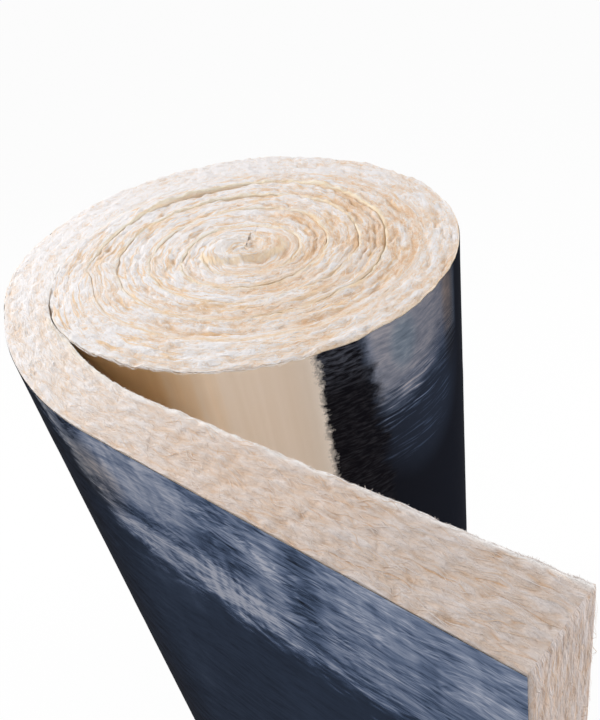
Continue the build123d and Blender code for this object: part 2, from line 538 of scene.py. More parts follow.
def top_relief(along, depth, thick, turn):
    """Height of the wool's lumps, layers and tufts on a cut side."""
    wound = ease(0.15, 0.75, turn)
    bent = depth + WARP * hills(along / WARP_SIZE[0], depth / WARP_SIZE[1], 11, 2)
    height = LAYER_HEIGHT * wound * ridges(along / LAYER_SIZE[0], bent / LAYER_SIZE[1], 12)
    height = height + CRIMP_HEIGHT * ridges(along / CRIMP_SIZE[0], bent / CRIMP_SIZE[1], 17)
    height = height + TUFT_HEIGHT * hills(along / TUFT_SIZE[0], bent / TUFT_SIZE[1], 13, 2)
    lump_height = LUMP_HEIGHT + WOUND_LUMPS * wound + CORE_LUMPS * ease(2.5, 4, turn)
    height = height + lump_height * hills(along / LUMP_SIZE[0], depth / LUMP_SIZE[1], 14, 2)
    for seed, place in ((15, 0.32), (25, 0.68)):
        fold_at = thick * (place + FOLD_SWAY * waves(along / FOLD_LENGTH, seed, 3))
        fold = near(depth - fold_at, FOLD_WIDTH) * ease(0.9, 1.5, turn)
        broken = ease(0.0, 0.35, waves(along / FOLD_BREAKS, seed + 1, 2))
        height = height - FOLD_DEPTH * fold * broken
    ragged = near(depth, RIM_WIDTH) * ease(0.55, 0.70, turn) * ease(1.20, 1.12, turn)
    height = height - PIT_DEPTH * pits(along, depth, thick)
    height = height + RIM_HEIGHT * ragged * waves(along / RIM_LENGTH, 22, 3)
    pillows = near(thick - depth, PILLOW_WIDTH) * ease(1.20, 1.30, turn) * ease(1.90, 1.75, turn)
    return height + PILLOW_HEIGHT * pillows * waves(along / PILLOW_LENGTH, 27, 2)


print("tallest kinds of relief", LUMP_HEIGHT + WOUND_LUMPS + CORE_LUMPS, TUFT_HEIGHT)

# %% [markdown]
# Where a seam hardly shows, the two turns meet at one level and share one relief, so that the wool
# runs on across it. Where it shows clearly, each turn keeps its own level and rounds off at its edge.

# %% Seams that hardly show
MEET_REACH = 0.008


def level_at(turn):
    """Top of the blanket at a turn number."""
    return turn_height(turn, np.interp(turn, row_turn, row_along))


def meeting(depth, thick):
    """How far each point shares its neighbours' level, and that level: wool side, then foil side."""
    wool_side = (thick - depth, row_turn, row_turn + 1)
    foil_side = (depth, row_turn - 1, row_turn - 1)
    pairs = []
    for away, seam_turn, other in (wool_side, foil_side):
        joined = ease(0.10, 0.20, seam_turn) * (other < LAST_TURN)
        weak = (joined * (1 - seam_strength(seam_turn)))[:, None] * near(away, MEET_REACH)
        pairs.append((weak, 0.5 * (level_at(row_turn) + level_at(other))[:, None]))
    return pairs


print("neighbours share a level within", MEET_REACH, "m of a weak seam")

# %% [markdown]
# Now every point of the grid gets its place: along the plan, across the thickness and up. The top
# corner of the cut end is drawn back a little, as a blanket that stands on the floor does.

# %% Wind the blanket
EDGE_ROUND = 0.003
EDGE_DROP = 0.7
GAP_LEVELS = (1.1935, 1.199)
UPPER_LEVELS = (0.9, 1.2)
CUT_LEAN = 0.05
LEAN_DEPTH = 0.3
LEAN_REACH = 0.15
SHARED_HEIGHT, SHARED_SIZE = 0.0022, 0.022


def cut_lean(level, along):
    """How far the cut end stands out lower down."""
    down = np.clip(WIDTH - level, 0, LEAN_DEPTH)
    return CUT_LEAN * down * ease(LEAN_REACH, 0.0, along)


def wind_blanket():
    """Places of all the grid's points: (rows, columns, 3), with length, depth and relief."""
    share = column_share[None, :]
    thick = row_thick[:, None]
    along = np.broadcast_to(row_along[:, None], (len(row_along), len(columns)))
    turn = np.broadcast_to(row_turn[:, None], along.shape)
    depth = share * thick
    gap = seam_gap(row_turn)[:, None] * ease(*GAP_LEVELS, column_level)[None, :]
    slim = depth + gap * (0.25 - share) * (row_turn[:, None] > exit_turn)
    flat = row_foil[:, None, :] + row_across[:, None, :] * slim[..., None]

    top = on_top_side
    relief = np.zeros(along.shape)
    relief[:, top] = top_relief(along[:, top], depth[:, top], thick, turn[:, top])
    shared = SHARED_HEIGHT * hills(flat[..., 0] / SHARED_SIZE, flat[..., 1] / SHARED_SIZE, 19, 2)
    own = turn_height(row_turn, row_along)[:, None] + 0 * depth
    base = own
    for weak, common in meeting(depth, thick):
        relief = np.where(top, relief + weak * (shared - relief), relief)
        base = base + weak * (common - own)

    edge = np.clip(1 - np.minimum(depth, thick - depth) / EDGE_ROUND, 0, 1) ** 2
    edge = edge * np.where(share < 0.5, seam_strength(turn - 1), seam_strength(turn))
    height = base + nose(flat[..., 0], flat[..., 1])
    level = column_level[None, :] + ease(*UPPER_LEVELS, column_level)[None, :] * height
    level[:, top] += (relief - EDGE_DROP * EDGE_ROUND * edge)[:, top]
    under = column_kind == "under"
    level[:, under] += (EDGE_ROUND * edge)[:, under]
    flat[..., 0] += cut_lean(level, along)
    return np.concatenate([flat, level[..., None]], axis=-1), along, depth, relief


places, place_along, place_depth, place_relief = wind_blanket()
print("relief from", round(float(place_relief.min()), 4), "to", round(float(place_relief.max()), 4))

# %% [markdown]
# The cut end is a flat grid of its own. Its edge points are those of the blanket's first row, so the
# two weld together. Its fibres stand upright, so its UV map is turned by a quarter, and it starts far
# from the rest of the map so that the paint can tell it apart.

# %% Cut end
CAP_UV = (3.0, 5.0)
top = np.where(on_top_side)[0]
foil_column = np.where(column_kind == "foil side")[0]
wool_column = np.where(column_kind == "wool side")[0][::-1]
under_column = np.where(column_kind == "under")[0][::-1]


def cut_face():
    """Places of the cut end's grid, from the floor to the top and from the foil to the wool side."""
    foil_end, wool_end = (side[0] for side in tail_sides(np.zeros(1)))
    plan = foil_end + (wool_end - foil_end) * top_shares[:, None]
    rows = [places[0, under_column[np.rint(top_shares * UNDER_SEGMENTS).astype(int)]]]
    for foil_at, wool_at in zip(foil_column, wool_column):
        level = places[0, foil_at, 2] * (1 - top_shares) + places[0, wool_at, 2] * top_shares
        row = np.concatenate([plan, level[:, None]], axis=1)
        row[:, 0] += cut_lean(level, np.zeros(len(level)))
        row[0], row[-1] = places[0, foil_at], places[0, wool_at]
        rows.append(row)
    rows.append(places[0, top])
    return np.stack(rows)


cap_places = cut_face()
cap_u = CAP_UV[0] + cap_places[..., 2]
cap_v = np.broadcast_to(CAP_UV[1] + top_shares * TAIL_THICK, cap_u.shape)
print("cut end", cap_places.shape[:2], "points")

# %% [markdown]
# Every piece here is a sheet that bends, so every piece starts as a flat grid from one operator. The
# grid's own coordinates tell which row and column a point is, and the point then moves to its place.
# A UV map in metres and some point attributes go along for the paint.

# %% Grids that bend
def grid_mesh(name, points, along_uv, across_uv, attributes):
    """A mesh from a grid of points, with a UV map in metres and point attributes."""
    rows, cols = points.shape[:2]
    shape = bmesh.new()
    bmesh.ops.create_grid(shape, x_segments=rows - 1, y_segments=cols - 1, size=0.5)
    mesh = bpy.data.meshes.new(name)
    shape.to_mesh(mesh)
    shape.free()
    flat = np.zeros(len(mesh.vertices) * 3)
    mesh.vertices.foreach_get("co", flat)
    flat = flat.reshape(-1, 3)
    row = np.rint((flat[:, 0] + 0.5) * (rows - 1)).astype(int)
    col = np.rint((flat[:, 1] + 0.5) * (cols - 1)).astype(int)
    mesh.vertices.foreach_set("co", points[row, col].astype(np.float32).ravel())
    corner = np.zeros(len(mesh.loops), dtype=int)
    mesh.loops.foreach_get("vertex_index", corner)
    uv = np.stack([along_uv[row, col], across_uv[row, col]], axis=1)[corner]
    layer = mesh.uv_layers.new(name="strip")
    layer.data.foreach_set("uv", uv.astype(np.float32).ravel())
    for key, values in attributes.items():
        data = mesh.attributes.new(key, "FLOAT", "POINT").data
        data.foreach_set("value", values[row, col].astype(np.float32))
    return mesh


print("a grid's points get their places, a UV map and attributes")

# %% [markdown]
# Grids that belong together are joined into one object. Welded, they close into one skin. Edges
# steeper than the sharp angle stay sharp, because a seam's walls would otherwise blur into its top
# and draw a dark line along it. A grid that stands for many strips is cut where their number changes.

# %% Pieces from grids
SHARP_ANGLE = radians(50)
WELD = 1e-6


def joined_object(name, meshes, weld=False, cut_by=None):
    """An object from one or more grid meshes, welded, or cut between strips of different number."""
    shape = bmesh.new()
    for mesh in meshes:
        shape.from_mesh(mesh)
    if weld:
        bmesh.ops.remove_doubles(shape, verts=shape.verts[:], dist=WELD)
        bmesh.ops.holes_fill(shape, edges=[e for e in shape.edges if e.is_boundary], sides=0)
    if cut_by:
        number = shape.verts.layers.float[cut_by]
        between = [f for f in shape.faces if len({v[number] for v in f.verts}) > 1]
        bmesh.ops.delete(shape, geom=between, context="FACES")
    bmesh.ops.recalc_face_normals(shape, faces=shape.faces[:])
    for face in shape.faces:
        face.smooth = True
    for edge in shape.edges:
        edge.smooth = edge.calc_face_angle(0.0) < SHARP_ANGLE
    print(name, "open edges", sum(e.is_boundary for e in shape.edges))
    shape.to_mesh(meshes[0])
    shape.free()
    for mesh in meshes[1:]:
        bpy.data.meshes.remove(mesh)
    meshes[0].update()
    thing = bpy.data.objects.new(name, meshes[0])
    bpy.context.collection.objects.link(thing)
    print(name, "triangles", sum(len(p.vertices) - 2 for p in meshes[0].polygons))
    return thing


print("edges steeper than", round(float(np.degrees(SHARP_ANGLE))), "degrees stay sharp")

# %% [markdown]
# The paint has to know where it is: which turn a point is on, how high its wool stands, and how near
# it is to a seam, to a lip with a pale painted highlight, to the painted white highlight along the
# tail's edge and the roll's front rim, or to a wall. These go onto the grid's points as numbers from 0
# to 1, apart from the turn and the relief in millimetres.

# %% What the paint needs to know
SEAM_REACH = 0.0022
RIM_REACH = 0.0050
LIP_REACH = 0.0034
FRONT_REACH = 0.0025
OUTER_REACH = 0.0014
STEEP = 1.1
TAIL_ENDS = 0.06

turns = np.broadcast_to(row_turn[:, None], place_relief.shape)
from_wool = row_thick[:, None] - place_depth
on_side = np.isin(column_kind, ("wool side", "foil side"))
steep = np.clip(nose_slope(places[..., 0], places[..., 1]) / STEEP, 0, 1)
wall = np.where(on_side[None, :], 1.0, steep)

foil_seam = near(place_depth, SEAM_REACH) * (turns > 1.03)
foil_seam = foil_seam * np.maximum(seam_strength(turns - 1), front_tint(turns - 1))
outer_edge = near(place_depth, OUTER_REACH) * ease(0.08, 0.14, turns) * ease(0.86, 0.80, turns)
foil_seam = np.maximum(foil_seam, 0.6 * outer_edge)
wool_seam = near(from_wool, SEAM_REACH) * front_tint(turns) * (turns > TAIL_ENDS)
# painted highlight along the roll's front rim and the tail's wool edge
front_rim_highlight = near(place_depth, FRONT_REACH) * ease(0.86, 0.93, turns) * ease(1.16, 1.08, turns)
tail_rim_highlight = near(from_wool, RIM_REACH) * (turns < TAIL_ENDS)

seam = np.where(on_top_side, np.maximum(foil_seam, wool_seam), 0.0)
lip = np.where(on_top_side, near(from_wool, LIP_REACH) * along_turns(LIP_HIGHLIGHT_STRENGTHS, turns), 0.0)
rim_highlight = np.where(on_top_side, np.maximum(tail_rim_highlight, 0.7 * front_rim_highlight), 0.0)
print("points near a seam", int((seam > 0.5).sum()), "and on a lip", int((lip > 0.5).sum()))

# %% [markdown]
# The blanket's grid is closed into a tube by repeating its first column at the end, and welded to its
# cut end. The result is one closed skin from the cut end to the core. The real one is soft wool right
# through.

# %% Wound wool
side_depth = np.where(column_kind == "foil side", column_level - WIDTH, 0)
side_depth = side_depth + np.where(column_kind == "wool side", WIDTH - column_level, 0)
side_depth = side_depth + np.where(column_kind == "under", WIDTH, 0)
facts = {"relief": place_relief * 1000, "turn": turns, "wall": wall, "seam": seam, "rim_highlight": rim_highlight, "lip": lip}


def tube(values):
    """A grid's values with the first column repeated at the end, so that the tube closes."""
    return np.concatenate([values, values[:, :1]], axis=1)


body_mesh = grid_mesh(
    "wound_wool",
    tube(places),
    tube(place_along),
    tube(place_depth + side_depth[None, :]),
    {key: tube(values) for key, values in facts.items()},
)
cap_facts = {key: np.full(cap_u.shape, TAIL_TURN if key == "turn" else 0.0) for key in facts}
cap_mesh = grid_mesh("cut_end", cap_places, cap_u, cap_v, cap_facts)
blanket = joined_object("wound_wool", [body_mesh, cap_mesh], weld=True)
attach(blanket, "root")
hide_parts("wool_blanket")

# %% [markdown]
# The foil lies on the outside of the tail and of the outermost turn, from the cut end round to the
# root of the gap. Its plan is the blanket's foil side, read at even steps, with the direction that
# points outwards at each step.

# %% Line of the foil
FOIL_STEP = 0.008
FOIL_END_TURN = 1.03
FINE_FOIL = 600


def foil_line():
    """Outer line of the blanket from the cut end to the gap's root, with outward directions."""
    tail = tail_sides(np.linspace(CUT_ROUND / TAIL_REACH, 1, FINE_FOIL, endpoint=False))[0]
    bend = bend_sides(np.linspace(0, 1, FINE_FOIL, endpoint=False))[0]
    turns = np.linspace(exit_turn, FOIL_END_TURN, 4 * FINE_FOIL)
    line = np.concatenate([tail, bend, on_turn(turns, seam_radius(turns))])
    before = np.linspace(TAIL_TURN, exit_turn, 2 * FINE_FOIL, endpoint=False)
    winding = np.concatenate([before, turns])
    along = np.concatenate([[0], np.cumsum(np.linalg.norm(np.diff(line, axis=0), axis=1))])
    at = np.linspace(0, along[-1], int(along[-1] / FOIL_STEP) + 1)
    line = np.stack([np.interp(at, along, line[:, k]) for k in (0, 1)], axis=1)
    way = np.gradient(line, axis=0)
    way /= np.linalg.norm(way, axis=1)[:, None]
    outward = np.stack([-way[:, 1], way[:, 0]], axis=1)
    return line, outward, at + CUT_ROUND, np.interp(at, along, winding)


foil_xy, foil_out, foil_along, foil_turn = foil_line()
print("foil length", round(float(foil_along[-1]), 3))

# %% [markdown]
# The facing is a grid too, a hair outside the wool, with the shallow creases that foil gets when a
# soft blanket is wound. Its upper edge wavers a little round the roll, just below the wool's. It is
# bonded to the wool all over.

# %% Foil facing
FOIL_LIFT = 0.0006
FOIL_EDGE = 0.002
FOIL_LEVELS = 150
FOIL_BELOW = 0.0025
FOIL_WAVER, WAVER_LENGTH, WAVER_FROM = 0.0022, 0.014, (1.2, 1.7)
CREASE, CREASE_SIZE = 0.0004, (0.09, 0.03)

foil_top = WIDTH + np.interp(foil_turn, row_turn, turn_height(row_turn, row_along)) - FOIL_BELOW
waver = waves(foil_along / WAVER_LENGTH, 33, 3) * ease(*WAVER_FROM, foil_along)
foil_top = foil_top + FOIL_WAVER * waver
u, v = np.meshgrid(foil_along, np.linspace(0, 1, FOIL_LEVELS), indexing="ij")
v = FOIL_EDGE + v * (foil_top - FOIL_EDGE)[:, None]
creases = np.abs(hills((u + v) / CREASE_SIZE[0], (u - 0.5 * v) / CREASE_SIZE[1], 31, 2))
lift = FOIL_LIFT + CREASE * creases
foil_flat = foil_xy[:, None, :] + foil_out[:, None, :] * lift[..., None]
foil_flat[..., 0] += cut_lean(v, u)
foil_places = np.concatenate([foil_flat, v[..., None]], axis=-1)
foil_turns = np.broadcast_to(foil_turn[:, None], u.shape)
foil_mesh = grid_mesh("foil_skin", foil_places, u, v, {"turn": foil_turns})
foil = joined_object("foil_skin", [foil_mesh])
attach(foil, "root")
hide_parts("foil_facing")

# %% [markdown]
# Loose fibres lie on the cut wool: short curved ribbons that follow the blanket's own length and
# depth, so they bend with the roll. To place one, the top's grid is read between its points. A depth
# past the edge carries on straight out, so that a fibre can stick out over it.

# %% Where a fibre lies
FIBRE_POINTS = 6
LAST_CELL = 1.001
LENGTH_SPREAD = 0.35
SWINGS = (0.4, 1.1)
top_places = places[:, top]
rng = np.random.default_rng(7)


def row_at(along):
    """Row number at a length along the blanket, as a fraction."""
    return (along - row_along[0]) / (row_along[1] - row_along[0])


def thick_at(along):
    """Thickness of the blanket at a length along it."""
    return row_thick[np.clip(row_at(along).astype(int), 0, len(row_along) - 1)]


def on_top(along, depth):
    """Points of the wool's top at lengths and depths, read between the grid's points."""
    row = np.clip(row_at(along), 0, len(row_along) - LAST_CELL)
    low = np.floor(row).astype(int)
    share = depth / row_thick[low]
    over = np.clip(share, 0, 1) - share
    col = np.interp(np.clip(share, 0, 1), top_shares, np.arange(len(top_shares)))
    left = np.minimum(np.floor(col).astype(int), len(top_shares) - 2)
    a, b = (row - low)[..., None], (col - left)[..., None]
    before = top_places[low, left] * (1 - b) + top_places[low, left + 1] * b
    after = top_places[low + 1, left] * (1 - b) + top_places[low + 1, left + 1] * b
    point = before * (1 - a) + after * a
    point[..., :2] -= row_across[low] * (over * row_thick[low])[..., None]
    return point


def curved_paths(count, long, wave, spread_angle):
    """Offsets along and across of curved fibres, and their share from root to tip."""
    t = np.linspace(0, 1, FIBRE_POINTS)[None, :]
    length = long * np.exp(rng.normal(0, LENGTH_SPREAD, (count, 1)))
    angle = rng.normal(0, spread_angle, (count, 1))
    swing = wave * rng.normal(0, 1, (count, 1))
    swings, start = rng.uniform(*SWINGS, (count, 1)), rng.random((count, 1))
    swing = swing * np.sin(2 * np.pi * (swings * t + start))
    run = length * (t - 0.5)
    return run * np.cos(angle) - swing * np.sin(angle), run * np.sin(angle) + swing * np.cos(angle), t


print("fibres are read from a grid of", top_places.shape[:2], "points")

# %% [markdown]
# There are four kinds. Most fibres lie flat on the cut side. Some stick out over the tail's wool
# edge, a few hang over the roll's front rim, and on the cut end they stand upright.

# %% Kinds of fibre
EDGE_KEEP = 0.002
CORE_KEEP = 0.05
FIBRE_LIFT = 0.0002
EDGE_INSET, EDGE_WAVE, EDGE_RISE = 0.0015, 0.0006, 0.0006
RIM_TURNS = (0.84, 1.10)
RIM_OUT, RIM_WAVE, RIM_HANG = 0.0018, 0.0007, 0.0016
CUT_LOW, CUT_BELOW, CUT_KEEP = 0.86, 0.004, 0.0005
CUT_WAVE, CUT_LIFT, CUT_RISE = 0.0009, 0.0004, 0.0012
EDGE_ANGLE, RIM_ANGLE, CUT_ANGLE = 1.0, 0.2, 0.10


def top_fibres(count, first, last, long, wave, spread_angle, lift):
    """Centre lines of fibres that lie on the top between two lengths along the blanket."""
    along = rng.uniform(first, last, (count, 1))
    thick = thick_at(along)
    run, swing, t = curved_paths(count, long, wave, spread_angle)
    depth = np.clip(rng.random((count, 1)) * thick + swing, EDGE_KEEP, thick - EDGE_KEEP)
    points = on_top(along + run, depth)
    rise = lift * rng.gamma(1.6, 0.6, (count, 1)) * np.sin(np.pi * np.clip(t * 1.02, 0, 1))
    points[..., 2] += FIBRE_LIFT + rise
    return points, np.broadcast_to(along, run.shape)


def edge_fibres(count, first, last, long):
    """Centre lines of fibres that stick out over the wool side's top edge."""
    along = rng.uniform(first, last, (count, 1))
    run, swing, t = curved_paths(count, long, EDGE_WAVE, EDGE_ANGLE)
    points = on_top(along + run, thick_at(along) - EDGE_INSET + np.abs(swing) * t)
    points[..., 2] += EDGE_RISE * rng.normal(0.2, 1, (count, 1)) * t
    return points, np.broadcast_to(along, run.shape)


def rim_fibres(count, long):
    """Centre lines of fibres that hang over the roll's front rim, in front of the foil."""
    first, last = np.interp(RIM_TURNS, row_turn, row_along)
    along = rng.uniform(first, last, (count, 1))
    run, swing, _ = curved_paths(count, long, RIM_WAVE, RIM_ANGLE)
    points = on_top(along + run, np.full(run.shape, -RIM_OUT))
    points[..., 2] += swing + FIBRE_LIFT - RIM_HANG * rng.random((count, 1))
    return points, np.broadcast_to(along, run.shape)


def cut_fibres(count, long):
    """Centre lines of upright fibres on the cut end."""
    depth = rng.uniform(EDGE_KEEP, TAIL_THICK - EDGE_KEEP, (count, 1))
    level = rng.uniform(CUT_LOW, WIDTH - CUT_BELOW, (count, 1))
    run, swing, t = curved_paths(count, long, CUT_WAVE, CUT_ANGLE)
    depth = np.clip(depth + swing, CUT_KEEP, TAIL_THICK - CUT_KEEP)
    level = np.minimum(level + run, places[0, :, 2].max() - EDGE_KEEP)
    first_foil, first_wool = (side[0] for side in tail_sides(np.zeros(1)))
    flat = first_foil + (first_wool - first_foil) * (depth / TAIL_THICK)[..., None]
    back = np.clip(CUT_ROUND - (WIDTH - level), 0, CUT_ROUND) ** 2 / CUT_ROUND
    rise = CUT_LIFT + CUT_RISE * rng.gamma(1.5, 0.5, (count, 1)) * np.sin(np.pi * t)
    flat[..., 0] += cut_lean(level, np.zeros(level.shape)) - back + rise
    return np.concatenate([flat, level[..., None]], axis=-1), np.zeros(run.shape)


core_end = float(row_along[-1]) - CORE_KEEP
flat_batches = [
    top_fibres(700, first=0.02, last=0.70, long=0.016, wave=0.0014, spread_angle=0.30, lift=0.0004),
    top_fibres(700, first=0.55, last=1.30, long=0.009, wave=0.0016, spread_angle=0.90, lift=0.0005),
    top_fibres(3600, first=1.00, last=core_end, long=0.009, wave=0.0015, spread_angle=0.50, lift=0.0005),
]
edge_batches = [edge_fibres(1500, first=0.005, last=0.75, long=0.0034), rim_fibres(220, long=0.010)]
cut_batch = cut_fibres(900, long=0.022)
batches = [*flat_batches, *edge_batches, cut_batch]
fibre_points, fibre_along = (np.concatenate([batch[k] for batch in batches]) for k in (0, 1))
print("fibres of each batch", [len(batch[0]) for batch in batches])

# %% [markdown]
# A fibre thinner than a hair would vanish in the picture, so each one is a flat ribbon that tapers at
# both ends. All the ribbons lie side by side in one long grid, which is cut between them afterwards.
# Fibres over an edge get paler tints, as in the photograph: painted light that passes through them.

# %% Ribbons
FIBRE_WIDTH, WIDTH_SPREAD = 0.00042, (0.6, 1.4)
TAPER = (0.06, 0.94)
BACKLIT_TINT_FROM = 0.7
UPWARD, OUTWARD = (0, 0, 1), (1, 0, 0)


def ribbon_sides(points, facing):
    """Unit vectors across ribbons that lie flat to a direction."""
    across = np.cross(np.gradient(points, axis=1), np.array(facing, float))
    return across / np.maximum(np.linalg.norm(across, axis=-1, keepdims=True), 1e-9)


count, cut_count = len(fibre_points), len(cut_batch[0])
lying = ribbon_sides(fibre_points[:-cut_count], UPWARD)
standing = ribbon_sides(fibre_points[-cut_count:], OUTWARD)
taper = np.sqrt(np.sin(np.pi * np.linspace(*TAPER, FIBRE_POINTS)))[None, :, None]
fibre_width = FIBRE_WIDTH * rng.uniform(*WIDTH_SPREAD, (count, 1, 1)) * taper
half_way = np.concatenate([lying, standing]) * fibre_width / 2
tint = rng.random(count)
edge_first = sum(len(batch[0]) for batch in flat_batches)
edge_last = edge_first + sum(len(batch[0]) for batch in edge_batches)
# painted light: fibres over an edge are paler, as light passes through them
tint[edge_first:edge_last] = BACKLIT_TINT_FROM + (1 - BACKLIT_TINT_FROM) * tint[edge_first:edge_last]


def two_columns(values):
    """One value for each fibre or fibre point, given to both sides of its ribbon."""
    return np.repeat(np.broadcast_to(values, (FIBRE_POINTS, count)), 2, axis=1)


ribbons = np.stack([fibre_points - half_way, fibre_points + half_way], axis=2)
ribbons = ribbons.transpose(1, 0, 2, 3).reshape(FIBRE_POINTS, 2 * count, 3)
ribbon_facts = {"tint": two_columns(tint), "ribbon": two_columns(np.arange(count))}
ribbon_along = two_columns(fibre_along.T)
fibre_mesh = grid_mesh("loose_fibres", ribbons, ribbon_along, 0 * ribbon_along, ribbon_facts)
fibres_object = joined_object("loose_fibres", [fibre_mesh], cut_by="ribbon")
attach(fibres_object, "root")

# %% [markdown]
# The finishes need longer sums: many terms added or multiplied, and noises weighted about their
# middle. Thin lines are drawn where a noise crosses its middle.

# %% Longer sums of nodes
class Sums(Wiring):
    """A node tree with sums of many terms."""

    def times(self, *terms):
        """Terms multiplied together."""
        return reduce(lambda first, second: self.maths("MULTIPLY", first, second), terms)

    def plus(self, *terms):
        """Terms added together."""
        return reduce(lambda first, second: self.maths("ADD", first, second), terms)

    def weighted(self, *terms):
        """Sum of (socket, weight, middle) terms: weight times the distance from the middle."""
        return self.plus(*[self.times(self.maths("SUBTRACT", s, middle), w) for s, w, middle in terms])

    def crests(self, value, width):
        """Thin lines where a noise crosses its middle."""
        away = self.maths("ABSOLUTE", self.maths("SUBTRACT", value, 0.5))
        return self.spread(away, 0.0, width, 1.0, 0.0)

    def between(self, share, first, second):
        """Two values mixed by a share."""
        return self.add("ShaderNodeMix", [(0, share), (2, first), (3, second)]).outputs[0]


print("sums ready")

# %% [markdown]
# A paint is a material with one Principled shader. Its patterns are noises over the piece's own UV
# map, in metres, so they run along the blanket wherever it bends. A noise that is scaled more across
# than along runs out into streaks, and one that is pushed about by a coarser noise looks less even.

# %% Paints
class Paint(Sums):
    """A material with a Principled shader, and ways to make its patterns and colours."""

    def __init__(self, name):
        self.material = bpy.data.materials.new(name)
        self.material.use_nodes = True
        super().__init__(self.material.node_tree)
        self.skin = self.add("ShaderNodeBsdfPrincipled")
        self.add("ShaderNodeOutputMaterial", [("Surface", self.skin.outputs["BSDF"])])

    def finish(self, name, term):
        """Give one of the shader's own inputs its term."""
        self.feed(self.skin.inputs[name], term)

    def attribute(self, name):
        """A point attribute of the mesh."""
        return self.add("ShaderNodeAttribute", attribute_name=name).outputs["Fac"]

    def strip(self):
        """The piece's UV map in metres, and its two directions: along the blanket and across it."""
        uv = self.add("ShaderNodeUVMap", uv_map="strip").outputs["UV"]
        ways = self.add("ShaderNodeSeparateXYZ", [("Vector", uv)]).outputs
        return uv, ways["X"], ways["Y"]

    def noise_node(self, coordinates, scale, detail, rough, bent):
        """A noise texture over coordinates that are scaled per axis."""
        place = self.add("ShaderNodeMapping", [("Vector", coordinates), ("Scale", (*scale, 1.0))])
        values = (("Scale", 1.0), ("Detail", detail), ("Roughness", rough), ("Distortion", bent))
        return self.add("ShaderNodeTexNoise", [("Vector", place.outputs["Vector"]), *values])

    def noise(self, coordinates, scale, detail=4.0, rough=0.6, bent=0.0, turned=0.0):
        """A streaky noise. turned slants the streaks."""
        if turned:
            slant = [("Vector", coordinates), ("Rotation", (0.0, 0.0, turned))]
            coordinates = self.add("ShaderNodeMapping", slant).outputs["Vector"]
        return self.noise_node(coordinates, scale, detail, rough, bent).outputs["Fac"]

    def warped(self, coordinates, scale, amount):
        """Coordinates pushed about by a coarser noise."""
        push = self.noise_node(coordinates, scale, 2.0, 0.5, 0.0).outputs["Color"]
        steps = (("SUBTRACT", (0.5, 0.5, 0.5)), ("MULTIPLY", (*amount, 0.0)), ("ADD", coordinates))
        for operation, term in steps:
            push = self.add("ShaderNodeVectorMath", [(0, push), (1, term)], operation=operation).outputs[0]
        return push

    def tones(self, value, stops):
        """Colours along a value: (position, (r, g, b)) stops."""
        node = self.add("ShaderNodeValToRGB", [("Fac", value)])
        ramp = node.color_ramp
        while len(ramp.elements) < len(stops):
            ramp.elements.new(0.5)
        for element, (position, colour) in zip(ramp.elements, stops):
            element.position = position
            element.color = (*colour, 1.0)
        return node.outputs["Color"]

    def blend(self, share, first, second, way="MIX"):
        """Two colours mixed by a share."""
        node = self.add("ShaderNodeMix", data_type="RGBA", blend_type=way)
        for name, term in (("Factor", share), ("A", first), ("B", second)):
            self.feed([i for i in node.inputs if i.name == name and i.enabled][0], term)
        return [o for o in node.outputs if o.enabled][0]

    def bump(self, height, strength, distance):
        """Fine relief in the shading alone."""
        terms = [("Height", height), ("Strength", strength), ("Distance", distance)]
        self.finish("Normal", self.add("ShaderNodeBump", terms).outputs["Normal"])


print("paint helpers ready")

# %% [markdown]
# The wool is matt. On the real blanket it is a felt of short fibres, so its patterns are noises of
# several sizes: soft clouds, layers with the winding, curls and single fibre lines. On the tail the
# curls are combed out along its length.

# %% Patterns of the wool
wool = Paint("cream wool")
wool.finish("Roughness", 0.95)
wool.finish("Specular IOR Level", 0.1)
strip, along, across = wool.strip()
relief, turn, wall_share, seam_share, rim_highlight_share, lip_share = (
    wool.attribute(name) for name in ("relief", "turn", "wall", "seam", "rim_highlight", "lip")
)
bent_strip = wool.warped(strip, (34.0, 70.0), (0.007, 0.008))
fibre_lines = wool.crests(wool.noise(bent_strip, (70.0, 300.0), 3.0, 0.55), 0.16)
layers = wool.noise(bent_strip, (24.0, 165.0), 4.0, 0.62, bent=0.5)
combed = wool.noise(bent_strip, (48.0, 230.0), 4.0, 0.66, bent=0.8)
curled = wool.noise(bent_strip, (120.0, 190.0), 4.0, 0.66, bent=1.6)
curls = wool.between(wool.spread(turn, -0.10, 0.20), combed, curled)
clouds = wool.noise(bent_strip, (14.0, 55.0), 3.0, 0.6)
print("patterns of the wool", len(wool.tree.nodes), "nodes")

# %% [markdown]
# One value runs from tan in the hollows to nearly white on the ridges. It adds up the patterns and
# the relief, so it is partly the wool's own mottling and partly painted shade in the hollows and
# painted highlight on the ridges. The outer turn on the left is painted paler, and round the roll one
# side is painted lighter and the other darker and more tan, as light falls from the left, which is how
# the photograph shows it. The tail has less contrast.

# %% From tan to white
WOOL_TONES = (
    (0.14, (0.81, 0.55, 0.36)),
    (0.34, (0.87, 0.70, 0.565)),
    (0.52, (0.885, 0.785, 0.715)),
    (0.70, (0.925, 0.89, 0.89)),
)
MIDDLE_TONE = 0.53
OUTER_PAINTED_LIGHT = 0.17
LIT_SIDE_TURN, SIDE_LIGHT_CONTRAST = 0.20, 0.17

wound = wool.spread(turn, 0.4, 1.0)
layer_part = wool.times(wool.maths("SUBTRACT", layers, 0.5), wool.spread(turn, 0.2, 1.0, 0.7, 1.1))
cloud_part = wool.times(wool.maths("SUBTRACT", clouds, 0.5), wool.spread(turn, 0.0, 0.4, 0.45, 1.0))
